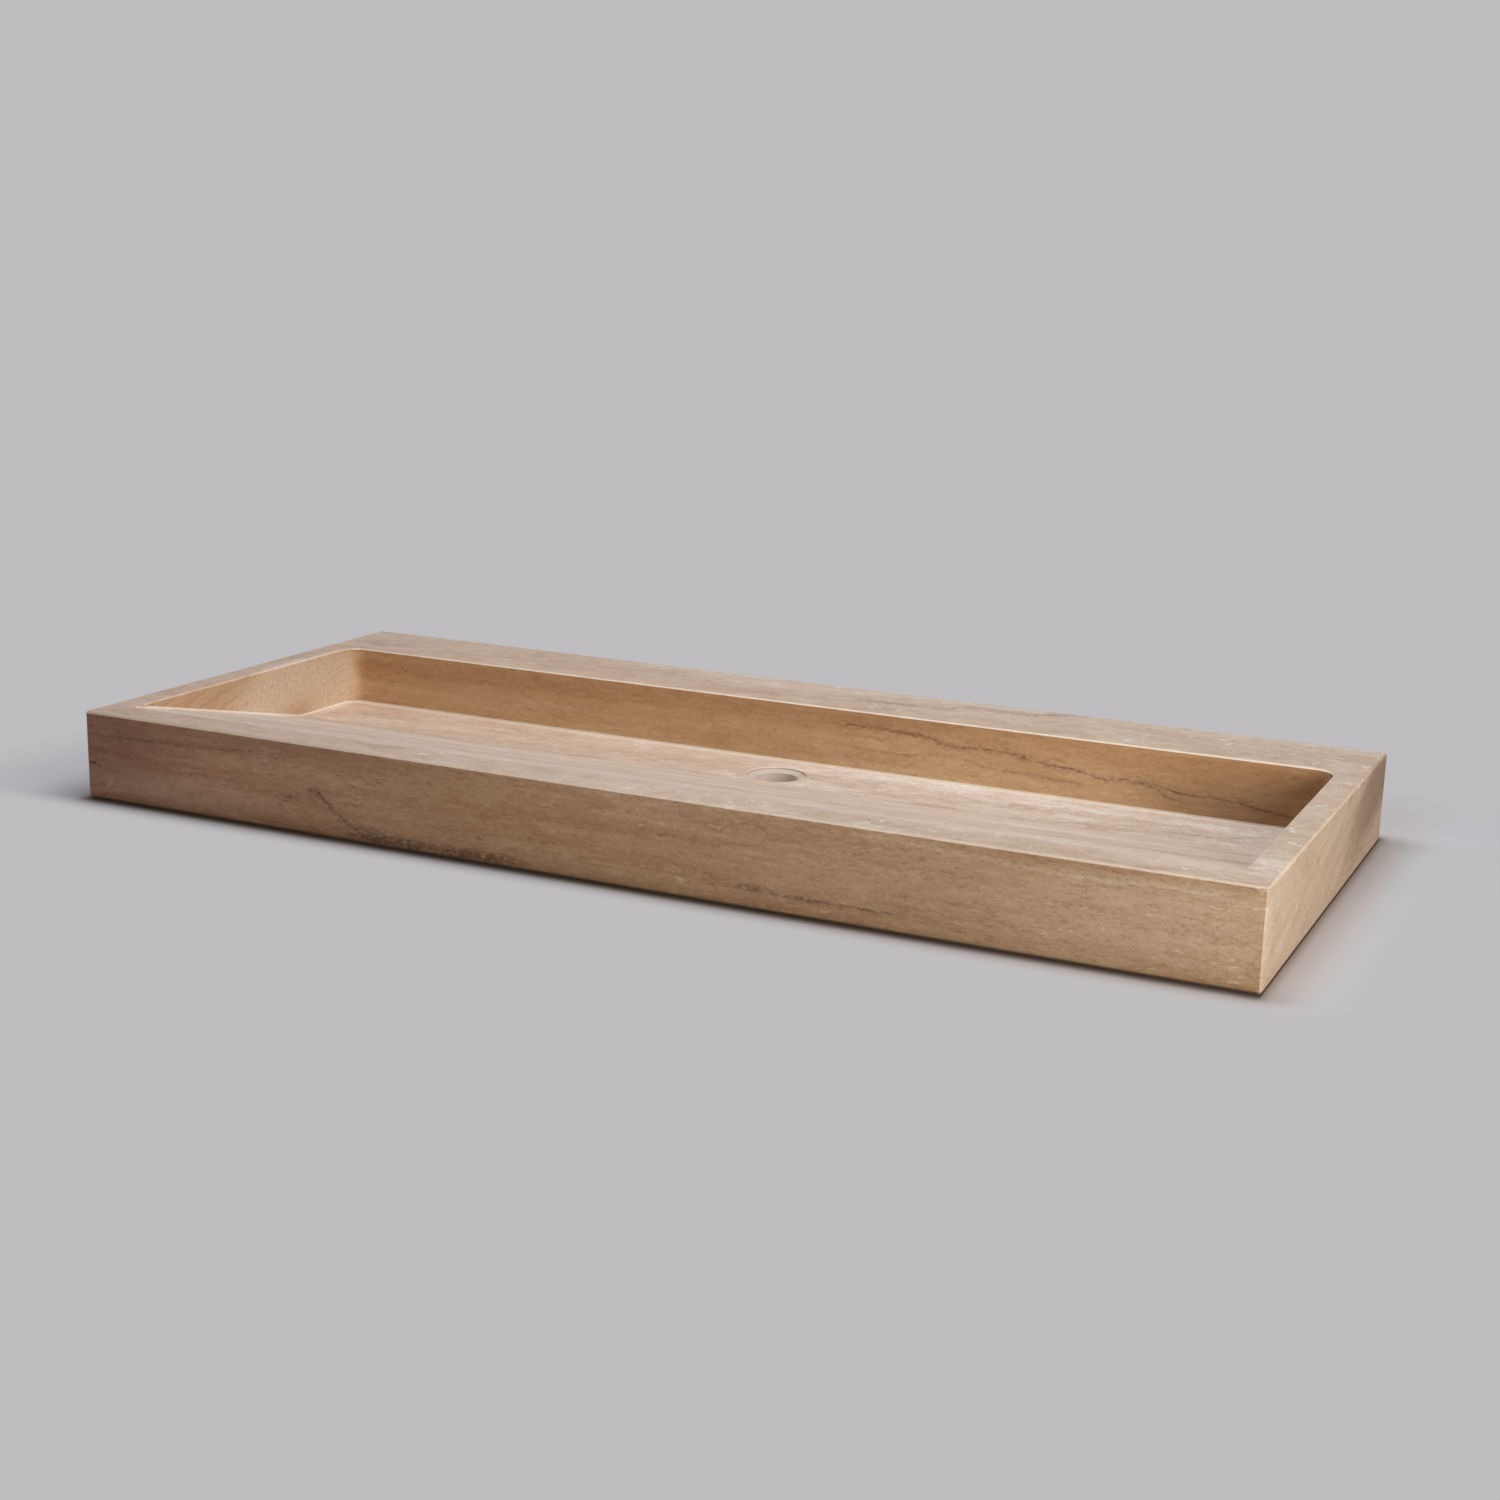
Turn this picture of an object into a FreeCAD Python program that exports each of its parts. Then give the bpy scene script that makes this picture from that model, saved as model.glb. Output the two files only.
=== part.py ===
import FreeCAD, Part
import math
import os

import Sketcher

# Stone washbasin: a low travertine block with a ramped bowl carved into its top,
# and the open outlet set that is clamped in its drain.
# Millimetres. X runs along the front edge, +Y points to the wall behind, +Z is up.
# The origin is the middle of the block's underside.

# Driving sizes: name, value, meaning.
SIZES = [
    ("basin_length", 1200.0, "block from left to right"),
    ("basin_depth", 520.0, "block from front to back"),
    ("basin_height", 90.0, "block from underside to rim"),
    ("corner_arris", 2.0, "eased upright corners of the block"),
    ("rim_arris", 1.8, "eased top edges of the block"),
    ("base_arris", 2.5, "eased bottom edges of the block"),
    ("side_rim", 29.0, "rim left and right of the bowl"),
    ("front_rim", 38.0, "rim in front of the ramp"),
    ("back_rim", 104.0, "rim behind the bowl"),
    ("base_thickness", 26.0, "stone under the level strip of the floor"),
    ("level_strip", 99.0, "level floor from the back wall to the foot of the ramp"),
    ("bend_radius", 40.0, "blend between ramp and level strip"),
    ("bowl_corner_radius", 20.0, "upright inner corners at the back wall"),
    ("foot_radius", 2.5, "blend between the bowl's walls and its floor"),
    ("bowl_arris", 1.5, "eased edge around the bowl's mouth"),
    ("drain_shift", 9.0, "drain axis to the right of the block's middle"),
    ("drain_setback", 165.0, "drain axis to the block's back face"),
    ("drain_arris", 0.6, "eased edge of the drain seat"),
    ("throat_diameter", 44.6, "open throat of the outlet"),
    ("sleeve_wall", 1.6, "wall of the outlet's sleeve"),
    ("flange_overhang", 6.6, "flange beyond the sleeve"),
    ("flange_thickness", 3.4, "rim of the flange"),
    ("flange_land", 1.5, "flat top of the flange's rim"),
    ("flange_dish", 2.4, "fall of the flange from its rim to the throat"),
    ("flange_round", 0.5, "rounded edges of the flange"),
    ("flange_drop", 1.6, "top of the flange's rim below the floor"),
    ("seat_clearance", 0.5, "gap around the flange in its seat"),
    ("bore_clearance", 0.8, "gap around the sleeve in the stone"),
    ("outlet_shoulder", 2.8, "inner step that carries the strainer"),
    ("outlet_length", 10.0, "threaded socket under the shoulder"),
    ("strainer_thickness", 1.2, "sheet of the strainer"),
    ("strainer_clearance", 0.2, "gap around the strainer"),
    ("slot_width", 3.2, "slots of the strainer"),
    ("slot_start", 6.5, "strainer axis to a slot's inner end"),
    ("slot_margin", 4.0, "slot's outer end to the strainer's edge"),
    ("slot_count", 8, "slots around the strainer"),
    ("seal_clearance", 0.3, "gap between the sleeve and the rings on it"),
    ("flange_seal_thickness", 1.5, "rubber ring under the flange"),
    ("flange_seal_inset", 0.8, "rubber ring inside the flange's edge"),
    ("lower_seal_thickness", 2.0, "rubber washer under the stone"),
    ("lower_seal_width", 9.0, "rubber washer from inside to outside"),
    ("washer_thickness", 1.2, "slip washer"),
    ("washer_width", 9.5, "slip washer from inside to outside"),
    ("nut_height", 5.0, "lock nut"),
    ("nut_wall", 6.1, "lock nut from the sleeve to a flat"),
    ("nut_bevel", 1.2, "turned bevel on the nut's corners"),
    ("thread_clearance", 0.1, "gap between nut and sleeve"),
    ("spanner_room", 10.0, "free space around the nut's corners"),
    ("nut_inset", 0.8, "nut and sleeve above the block's underside"),
]

# How far cutting tools run past the faces that they open.
CUT_MARGIN = 1.0
BOWL_OVERSHOOT = 30.0
BEVEL_OVERREACH = 2.0

FULL_TURN = 360.0
ARRIS_ANGLE = 45.0
TOLERANCE = 1e-4
# Faces whose outward normal dips below this look down.
DOWNWARD = -0.5

# Indexes that a sketch gives to the points of its lines and arcs, and to its own two axes.
START, END, CENTRE = range(1, 4)
UP_AXIS, ACROSS_AXIS = range(-2, 0)
SKETCH_ORIGIN = (ACROSS_AXIS, START)

# Places and sizes worked out from the driving ones, as expressions.
HALF_LENGTH = "Sizes.basin_length / 2"
HALF_DEPTH = "Sizes.basin_depth / 2"
BOWL_LENGTH = "(Sizes.basin_length - 2 * Sizes.side_rim)"
BACK_WALL = f"({HALF_DEPTH} - Sizes.back_rim)"
RAMP_FOOT = f"({BACK_WALL} - Sizes.level_strip)"
RAMP_TOP = f"(Sizes.front_rim - {HALF_DEPTH})"
BOWL_DEPTH = "(Sizes.basin_height - Sizes.base_thickness)"
RAMP_RUN_PER_RISE = f"(({RAMP_FOOT} - {RAMP_TOP}) / {BOWL_DEPTH})"
RAMP_SECANT = f"sqrt(1 + 1 / {RAMP_RUN_PER_RISE}^2)"
WALL_BARE_DEPTH = f"(Sizes.bowl_arris + Sizes.foot_radius * {RAMP_SECANT})"
WALL_START = f"({RAMP_TOP} + {WALL_BARE_DEPTH} * {RAMP_RUN_PER_RISE})"
DRAIN_Y = f"({HALF_DEPTH} - Sizes.drain_setback)"
THROAT_RADIUS = "Sizes.throat_diameter / 2"
OUTLET_RADIUS = f"({THROAT_RADIUS} - Sizes.outlet_shoulder)"
SLEEVE_RADIUS = f"({THROAT_RADIUS} + Sizes.sleeve_wall)"
RING_RADIUS = f"({SLEEVE_RADIUS} + Sizes.seal_clearance)"
FLANGE_RADIUS = f"({SLEEVE_RADIUS} + Sizes.flange_overhang)"
SEAT_RADIUS = f"({FLANGE_RADIUS} + Sizes.seat_clearance)"
BORE_RADIUS = f"({SLEEVE_RADIUS} + Sizes.bore_clearance)"
NUT_HALF_WIDTH = f"({SLEEVE_RADIUS} + Sizes.nut_wall)"
NUT_CORNER_RADIUS = f"({NUT_HALF_WIDTH} * 2 / sqrt(3))"
POCKET_RADIUS = f"({NUT_CORNER_RADIUS} + Sizes.spanner_room)"
STRAINER_RADIUS = f"({THROAT_RADIUS} - Sizes.strainer_clearance)"
SLOT_RADIUS = "Sizes.slot_width / 2"
FLANGE_UNDERSIDE = "(Sizes.base_thickness - Sizes.flange_drop - Sizes.flange_thickness)"
SEAT_LEVEL = f"({FLANGE_UNDERSIDE} - Sizes.flange_seal_thickness)"
NUT_TOP = "(Sizes.nut_inset + Sizes.nut_height)"
WASHER_TOP = f"({NUT_TOP} + Sizes.washer_thickness)"
POCKET_TOP = f"({WASHER_TOP} + Sizes.lower_seal_thickness)"
SHOULDER_LEVEL = "(Sizes.nut_inset + Sizes.outlet_length)"


def make_sheet(doc):
    """Spreadsheet with one named cell for each driving size."""
    sheet = doc.addObject("Spreadsheet::Sheet", "Sizes")
    for row, (name, value, meaning) in enumerate(SIZES, start=1):
        sheet.set(f"A{row}", meaning)
        sheet.set(f"B{row}", str(value))
        sheet.setAlias(f"B{row}", name)
    doc.recompute()


def value_of(obj, expression):
    """Number that an expression of the driving sizes has now."""
    return float(obj.evalExpression(expression))


def new_body(doc, label):
    """Empty body of one sub-part."""
    body = doc.addObject("PartDesign::Body", label)
    body.Label = label
    return body


def place(body, height):
    """Stand a piece of the outlet set on the drain axis, at a height above the underside."""
    body.setExpression("Placement.Base.x", "Sizes.drain_shift")
    body.setExpression("Placement.Base.y", DRAIN_Y)
    body.setExpression("Placement.Base.z", height)


def origin_feature(body, role):
    """Plane or axis of a body's own origin."""
    return next(feature for feature in body.Origin.OriginFeatures if feature.Role == role)


def new_sketch(body, name, plane):
    """Empty sketch on one of the body's origin planes."""
    sketch = body.newObject("Sketcher::SketchObject", name)
    sketch.AttachmentSupport = (origin_feature(body, plane), [""])
    sketch.MapMode = "FlatFace"
    return sketch


def relate(sketch, kind, *parts):
    """Add a constraint with no size to a sketch."""
    sketch.addConstraint(Sketcher.Constraint(kind, *parts))


def bind(sketch, expression, kind, *parts):
    """Add a dimension to a sketch and tie it to an expression."""
    constraint = Sketcher.Constraint(kind, *parts, value_of(sketch, expression))
    index = sketch.addConstraint(constraint)
    sketch.setExpression(f"Constraints[{index}]", expression)


def outline(body, name, plane, corners):
    """Closed sketch of straight lines, with each corner an (across, up) pair of expressions."""
    sketch = new_sketch(body, name, plane)
    points = [
        FreeCAD.Vector(value_of(sketch, across), value_of(sketch, up), 0) for across, up in corners
    ]
    count = len(points)
    for index, point in enumerate(points):
        sketch.addGeometry(Part.LineSegment(point, points[(index + 1) % count]))
    for index in range(count):
        relate(sketch, "Coincident", index, END, (index + 1) % count, START)
    for index, (across, up) in enumerate(corners):
        if across == "0":
            relate(sketch, "PointOnObject", index, START, UP_AXIS)
        else:
            bind(sketch, across, "DistanceX", *SKETCH_ORIGIN, index, START)
        if up == "0":
            relate(sketch, "PointOnObject", index, START, ACROSS_AXIS)
        else:
            bind(sketch, up, "DistanceY", *SKETCH_ORIGIN, index, START)
    return sketch


def mouth_plan(body, reach):
    """Sketch of the bowl's mouth, grown by a reach, with round corners at the back only."""
    sketch = new_sketch(body, "MouthPlan", "XY_Plane")
    side_line = f"{BOWL_LENGTH} / 2 + {reach}"
    front_line = f"{WALL_START} - ({reach})"
    back_line = f"{BACK_WALL} + {reach}"
    corner = f"Sizes.bowl_corner_radius + {reach}"
    side = value_of(sketch, side_line)
    front = value_of(sketch, front_line)
    back = value_of(sketch, back_line)
    radius = value_of(sketch, corner)
    bend = back - radius
    flat = side - radius
    diagonal = radius / math.sqrt(2)
    front_right = FreeCAD.Vector(side, front, 0)
    front_left = FreeCAD.Vector(-side, front, 0)
    right_bend = FreeCAD.Vector(side, bend, 0)
    left_bend = FreeCAD.Vector(-side, bend, 0)
    right_back = FreeCAD.Vector(flat, back, 0)
    left_back = FreeCAD.Vector(-flat, back, 0)
    right_middle = FreeCAD.Vector(flat + diagonal, bend + diagonal, 0)
    left_middle = FreeCAD.Vector(-flat - diagonal, bend + diagonal, 0)
    front_edge = sketch.addGeometry(Part.LineSegment(front_left, front_right))
    right_edge = sketch.addGeometry(Part.LineSegment(front_right, right_bend))
    right_corner = sketch.addGeometry(Part.Arc(right_bend, right_middle, right_back))
    back_edge = sketch.addGeometry(Part.LineSegment(right_back, left_back))
    left_corner = sketch.addGeometry(Part.Arc(left_back, left_middle, left_bend))
    left_edge = sketch.addGeometry(Part.LineSegment(left_bend, front_left))
    relate(sketch, "Coincident", front_edge, END, right_edge, START)
    relate(sketch, "Coincident", left_edge, END, front_edge, START)
    rounded = [right_edge, right_corner, back_edge, left_corner, left_edge]
    for line, following in zip(rounded, rounded[1:]):
        relate(sketch, "Tangent", line, END, following, START)
    for line in (front_edge, back_edge):
        relate(sketch, "Horizontal", line)
    for line in (right_edge, left_edge):
        relate(sketch, "Vertical", line)
    bind(sketch, side_line, "DistanceX", *SKETCH_ORIGIN, right_edge, START)
    bind(sketch, f"-({side_line})", "DistanceX", *SKETCH_ORIGIN, front_edge, START)
    bind(sketch, front_line, "DistanceY", *SKETCH_ORIGIN, front_edge, START)
    bind(sketch, back_line, "DistanceY", *SKETCH_ORIGIN, back_edge, START)
    for arc in (right_corner, left_corner):
        bind(sketch, corner, "Radius", arc)
    return sketch


def circles(body, name, radii):
    """Sketch of circles around the body's upright axis, with each radius an expression."""
    sketch = new_sketch(body, name, "XY_Plane")
    for radius in radii:
        size = value_of(sketch, radius)
        circle = sketch.addGeometry(Part.Circle(FreeCAD.Vector(), FreeCAD.Vector(0, 0, 1), size))
        relate(sketch, "Coincident", circle, CENTRE, *SKETCH_ORIGIN)
        bind(sketch, radius, "Radius", circle)
    return sketch


def pad(body, name, sketch, length, symmetric=False):
    """Raise a sketch into a solid."""
    feature = body.newObject("PartDesign::Pad", name)
    feature.Profile = sketch
    feature.SideType = "Symmetric" if symmetric else "One side"
    feature.setExpression("Length", length)
    body.Document.recompute()


def settle_cut(feature):
    """Work out a cut, and stop if it takes nothing away."""
    feature.Document.recompute()
    if feature.Shape.Volume > feature.BaseFeature.Shape.Volume - TOLERANCE:
        raise RuntimeError(f"{feature.Name} cuts nothing")


def groove(body, name, sketch):
    """Turn a sketch about its own upright axis and cut it away."""
    feature = body.newObject("PartDesign::Groove", name)
    feature.Profile = sketch
    feature.ReferenceAxis = (sketch, ["V_Axis"])
    feature.Angle = FULL_TURN
    settle_cut(feature)


def cut_through(body, name, sketch):
    """Cut a sketch on the body's base right through everything above it."""
    feature = body.newObject("PartDesign::Pocket", name)
    feature.Profile = sketch
    feature.Type = "ThroughAll"
    feature.Reversed = True
    settle_cut(feature)
    return feature


def dress(body, kind, name, wanted, size):
    """Fillet or chamfer the edges of the body's last feature that pass a test."""
    base = body.Tip
    edges = enumerate(base.Shape.Edges, start=1)
    feature = body.newObject(f"PartDesign::{kind}", name)
    feature.Base = (base, [f"Edge{index}" for index, edge in edges if wanted(edge)])
    feature.setExpression("Radius" if kind == "Fillet" else "Size", size)
    body.Document.recompute()


def is_upright(edge):
    """Whether an edge runs straight along Z."""
    box = edge.BoundBox
    return box.XLength < TOLERANCE and box.YLength < TOLERANCE


def lies_at(edge, height):
    """Whether an edge lies in the level plane at a height."""
    box = edge.BoundBox
    return abs(box.ZMin - height) < TOLERANCE and abs(box.ZMax - height) < TOLERANCE


def face_slope(face):
    """Upward part of a face's outward normal, at the face's middle."""
    u_min, u_max, v_min, v_max = face.ParameterRange
    return face.normalAt((u_min + u_max) / 2, (v_min + v_max) / 2).z


def joins_wall_to_floor(shape, edge):
    """Whether an edge lies between an upright face and a face that looks down."""
    slopes = sorted(face_slope(face) for face in shape.ancestorsOfType(edge, Part.Face))
    return slopes[0] < DOWNWARD and abs(slopes[-1]) < TOLERANCE


def make_bowl_space(doc):
    """The space that is carved out: a ramp, a level strip and upright walls, running past the rim."""
    body = new_body(doc, "bowl_space")
    above = f"Sizes.basin_height + {BOWL_OVERSHOOT}"
    corners = [
        (f"{RAMP_TOP} - {BOWL_OVERSHOOT} * {RAMP_RUN_PER_RISE}", above),
        (RAMP_FOOT, "Sizes.base_thickness"),
        (BACK_WALL, "Sizes.base_thickness"),
        (BACK_WALL, above),
    ]
    profile = outline(body, "BowlProfile", "YZ_Plane", corners)
    pad(body, "BowlPrism", profile, BOWL_LENGTH, symmetric=True)
    bend = value_of(body, RAMP_FOOT)
    back = value_of(body, BACK_WALL)

    def at_bend(edge):
        return abs(edge.BoundBox.YMin - bend) < TOLERANCE and edge.BoundBox.YLength < TOLERANCE

    def at_back_corner(edge):
        return is_upright(edge) and abs(edge.CenterOfMass.y - back) < TOLERANCE

    dress(body, "Fillet", "RampBend", at_bend, "Sizes.bend_radius")
    dress(body, "Fillet", "BowlCorners", at_back_corner, "Sizes.bowl_corner_radius")
    shape = body.Tip.Shape

    def at_foot(edge):
        return joins_wall_to_floor(shape, edge)

    dress(body, "Fillet", "BowlFeet", at_foot, "Sizes.foot_radius")
    return body


def make_basin_body(doc):
    """The stone block: eased edges, carved bowl, stepped drain and the pocket underneath."""
    body = new_body(doc, "basin_body")
    corners = [
        (f"-{HALF_LENGTH}", f"-{HALF_DEPTH}"),
        (HALF_LENGTH, f"-{HALF_DEPTH}"),
        (HALF_LENGTH, HALF_DEPTH),
        (f"-{HALF_LENGTH}", HALF_DEPTH),
    ]
    pad(body, "Block", outline(body, "BlockPlan", "XY_Plane", corners), "Sizes.basin_height")
    rim = value_of(body, "Sizes.basin_height")

    def at_rim(edge):
        return lies_at(edge, rim)

    def at_base(edge):
        return lies_at(edge, 0)

    dress(body, "Chamfer", "CornerArris", is_upright, "Sizes.corner_arris")
    dress(body, "Chamfer", "RimArris", at_rim, "Sizes.rim_arris")
    dress(body, "Chamfer", "BaseArris", at_base, "Sizes.base_arris")

    carve = body.newObject("PartDesign::Boolean", "CarvedBowl")
    carve.Type = "Cut"
    carve.setObjects([make_bowl_space(doc)])
    settle_cut(carve)

    reach = f"Sizes.bowl_arris + {CUT_MARGIN}"
    mouth = mouth_plan(body, reach)
    mouth.setExpression("AttachmentOffset.Base.z", f"Sizes.basin_height + {CUT_MARGIN}")
    ease = body.newObject("PartDesign::Pocket", "MouthArris")
    ease.Profile = mouth
    ease.setExpression("Length", reach)
    ease.TaperAngle = -ARRIS_ANGLE
    settle_cut(ease)

    drain = outline(body, "DrainProfile", "XZ_Plane", drain_steps())
    drain.setExpression("AttachmentOffset.Base.x", "Sizes.drain_shift")
    drain.setExpression("AttachmentOffset.Base.z", f"-{DRAIN_Y}")
    groove(body, "Drain", drain)
    return body


def drain_steps():
    """Half section of the drain through the stone: pocket, bore, seat and its eased edge."""
    below = f"-{CUT_MARGIN}"
    above = "Sizes.basin_height"
    seat_edge = f"{SEAT_RADIUS} + Sizes.drain_arris"
    return [
        ("0", below),
        (POCKET_RADIUS, below),
        (POCKET_RADIUS, POCKET_TOP),
        (BORE_RADIUS, POCKET_TOP),
        (BORE_RADIUS, SEAT_LEVEL),
        (SEAT_RADIUS, SEAT_LEVEL),
        (SEAT_RADIUS, "Sizes.base_thickness - Sizes.drain_arris"),
        (seat_edge, "Sizes.base_thickness"),
        (seat_edge, above),
        ("0", above),
    ]


def make_waste_body(doc):
    """Outlet body: a dished flange in the drain seat and a sleeve with a stepped bore."""
    body = new_body(doc, "waste_body")
    sleeve_end = f"Sizes.nut_inset - {FLANGE_UNDERSIDE}"
    shoulder = f"{SHOULDER_LEVEL} - {FLANGE_UNDERSIDE}"
    throat_edge = "Sizes.flange_thickness - Sizes.flange_dish"
    corners = [
        (THROAT_RADIUS, throat_edge),
        (THROAT_RADIUS, shoulder),
        (OUTLET_RADIUS, shoulder),
        (OUTLET_RADIUS, sleeve_end),
        (SLEEVE_RADIUS, sleeve_end),
        (SLEEVE_RADIUS, "0"),
        (FLANGE_RADIUS, "0"),
        (FLANGE_RADIUS, "Sizes.flange_thickness"),
        (f"{FLANGE_RADIUS} - Sizes.flange_land", "Sizes.flange_thickness"),
    ]
    turned = body.newObject("PartDesign::Revolution", "Outlet")
    turned.Profile = outline(body, "OutletProfile", "XZ_Plane", corners)
    turned.ReferenceAxis = (turned.Profile[0], ["V_Axis"])
    turned.Angle = FULL_TURN
    doc.recompute()
    rim = value_of(body, "Sizes.flange_thickness")
    throat = value_of(body, throat_edge)

    def at_flange_top(edge):
        return lies_at(edge, rim) or lies_at(edge, throat)

    dress(body, "Fillet", "FlangeEdges", at_flange_top, "Sizes.flange_round")
    place(body, FLANGE_UNDERSIDE)
    return body


def make_ring(doc, label, width_to, thickness, height):
    """Flat ring around the sleeve, out to a radius."""
    body = new_body(doc, label)
    pad(body, f"{label}_sheet", circles(body, f"{label}_plan", [RING_RADIUS, width_to]), thickness)
    place(body, height)
    return body


def make_strainer(doc):
    """Slotted disc that drops into the throat."""
    body = new_body(doc, "strainer")
    pad(body, "Disc", circles(body, "DiscPlan", [STRAINER_RADIUS]), "Sizes.strainer_thickness")
    slots = body.newObject("PartDesign::PolarPattern", "Slots")
    slots.Originals = [cut_through(body, "Slot", slot_plan(body))]
    slots.Axis = (origin_feature(body, "Z_Axis"), [""])
    slots.Angle = FULL_TURN
    slots.setExpression("Occurrences", "Sizes.slot_count")
    body.Tip = slots
    place(body, SHOULDER_LEVEL)
    return body


def slot_plan(body):
    """Plan of one radial slot with round ends."""
    sketch = new_sketch(body, "SlotPlan", "XY_Plane")
    inner_end = f"Sizes.slot_start + {SLOT_RADIUS}"
    outer_end = f"{STRAINER_RADIUS} - Sizes.slot_margin - {SLOT_RADIUS}"
    half = value_of(sketch, SLOT_RADIUS)
    start = FreeCAD.Vector(value_of(sketch, inner_end), 0, 0)
    end = FreeCAD.Vector(value_of(sketch, outer_end), 0, 0)
    side = FreeCAD.Vector(0, half, 0)
    tip = FreeCAD.Vector(half, 0, 0)
    near_side = sketch.addGeometry(Part.LineSegment(start - side, end - side))
    outer_arc = sketch.addGeometry(Part.Arc(end - side, end + tip, end + side))
    far_side = sketch.addGeometry(Part.LineSegment(end + side, start + side))
    inner_arc = sketch.addGeometry(Part.Arc(start + side, start - tip, start - side))
    loop = [near_side, outer_arc, far_side, inner_arc]
    for line, following in zip(loop, loop[1:] + loop[:1]):
        relate(sketch, "Tangent", line, END, following, START)
    for arc in (outer_arc, inner_arc):
        relate(sketch, "PointOnObject", arc, CENTRE, ACROSS_AXIS)
    bind(sketch, inner_end, "DistanceX", *SKETCH_ORIGIN, inner_arc, CENTRE)
    bind(sketch, outer_end, "DistanceX", *SKETCH_ORIGIN, outer_arc, CENTRE)
    bind(sketch, SLOT_RADIUS, "Radius", outer_arc)
    return sketch


def make_lock_nut(doc):
    """Flat hexagon nut with its lower corners turned to a bevel."""
    body = new_body(doc, "lock_nut")
    half_corner = f"{NUT_CORNER_RADIUS} / 2"
    hexagon = [
        (NUT_CORNER_RADIUS, "0"),
        (half_corner, NUT_HALF_WIDTH),
        (f"-{half_corner}", NUT_HALF_WIDTH),
        (f"-{NUT_CORNER_RADIUS}", "0"),
        (f"-{half_corner}", f"-{NUT_HALF_WIDTH}"),
        (half_corner, f"-{NUT_HALF_WIDTH}"),
    ]
    pad(body, "Hexagon", outline(body, "HexagonPlan", "XY_Plane", hexagon), "Sizes.nut_height")
    bore_radius = f"{SLEEVE_RADIUS} + Sizes.thread_clearance"
    cut_through(body, "ThreadBore", circles(body, "BorePlan", [bore_radius]))
    corner_reach = f"({NUT_CORNER_RADIUS} - {NUT_HALF_WIDTH})"
    beyond = f"{NUT_HALF_WIDTH} + {BEVEL_OVERREACH} * {corner_reach}"
    bevel = [
        (NUT_HALF_WIDTH, "0"),
        (beyond, "0"),
        (beyond, f"{BEVEL_OVERREACH} * Sizes.nut_bevel"),
    ]
    groove(body, "CornerBevel", outline(body, "BevelProfile", "XZ_Plane", bevel))
    place(body, "Sizes.nut_inset")
    return body


def make_outlet_set(doc):
    """The pieces clamped in the drain, from the flange down to the nut."""
    flange_seal_edge = f"{FLANGE_RADIUS} - Sizes.flange_seal_inset"
    lower_seal_edge = f"{RING_RADIUS} + Sizes.lower_seal_width"
    washer_edge = f"{RING_RADIUS} + Sizes.washer_width"
    return [
        make_waste_body(doc),
        make_ring(doc, "flange_seal", flange_seal_edge, "Sizes.flange_seal_thickness", SEAT_LEVEL),
        make_strainer(doc),
        make_ring(doc, "lower_seal", lower_seal_edge, "Sizes.lower_seal_thickness", WASHER_TOP),
        make_ring(doc, "slip_washer", washer_edge, "Sizes.washer_thickness", NUT_TOP),
        make_lock_nut(doc),
    ]


def check(doc, pieces):
    """Stop if any object failed, or if a piece is not one valid solid."""
    for obj in doc.Objects:
        if "Invalid" in obj.State or "Error" in obj.State:
            raise RuntimeError(f"{obj.Name} failed: {obj.State}")
    for piece in pieces:
        shape = piece.Shape
        if shape.isNull() or not shape.isValid() or len(shape.Solids) != 1:
            raise RuntimeError(f"{piece.Label} is not one valid solid")


def main():
    doc = FreeCAD.newDocument("washbasin")
    make_sheet(doc)
    pieces = [make_basin_body(doc)] + make_outlet_set(doc)
    doc.recompute()
    check(doc, pieces)
    os.makedirs("parts", exist_ok=True)
    for piece in pieces:
        piece.Shape.exportStep(f"parts/{piece.Label}.step")
        box = piece.Shape.optimalBoundingBox()
        print(f"{piece.Label}: {piece.Shape.Volume:.0f} mm3, z {box.ZMin:.2f} to {box.ZMax:.2f}")


main()
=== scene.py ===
import math

import bpy
from mathutils import Matrix, Vector


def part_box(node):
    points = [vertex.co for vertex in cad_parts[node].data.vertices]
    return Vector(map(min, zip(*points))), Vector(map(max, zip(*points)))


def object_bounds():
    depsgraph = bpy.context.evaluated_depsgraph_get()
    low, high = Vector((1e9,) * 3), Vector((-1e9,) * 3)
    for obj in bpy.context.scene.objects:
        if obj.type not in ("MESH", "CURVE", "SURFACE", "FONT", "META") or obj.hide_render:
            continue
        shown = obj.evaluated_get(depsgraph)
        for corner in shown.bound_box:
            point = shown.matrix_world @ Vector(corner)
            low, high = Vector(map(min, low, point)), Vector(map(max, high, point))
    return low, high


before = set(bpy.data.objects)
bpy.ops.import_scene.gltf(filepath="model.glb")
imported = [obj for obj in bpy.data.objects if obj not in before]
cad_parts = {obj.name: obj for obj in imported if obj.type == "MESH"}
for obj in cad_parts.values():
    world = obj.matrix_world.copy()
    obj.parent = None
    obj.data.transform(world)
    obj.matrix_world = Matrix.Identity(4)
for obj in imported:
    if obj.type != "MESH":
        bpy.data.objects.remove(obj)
cad_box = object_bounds()

# Lengths are in metres, and a pair of numbers is where a smooth change starts and where it is complete

MM = 0.001
HALF_LENGTH = cad_box[1].x
HALF_DEPTH = cad_box[1].y
RIM_HEIGHT = cad_box[1].z
CORNER_SUM = HALF_LENGTH + HALF_DEPTH
NOISE_MIDDLE = 0.5

# Camera, set up like the one that took the photograph

LENS_MM = 52.889
CAMERA_PLACE = (0.93581, -1.93750, 0.59566)
CAMERA_AZIMUTH = math.radians(25.2383)
CAMERA_ELEVATION = math.radians(13.6913)
CAMERA_ROLL = math.radians(1.4210)

# Lights and surroundings

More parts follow.
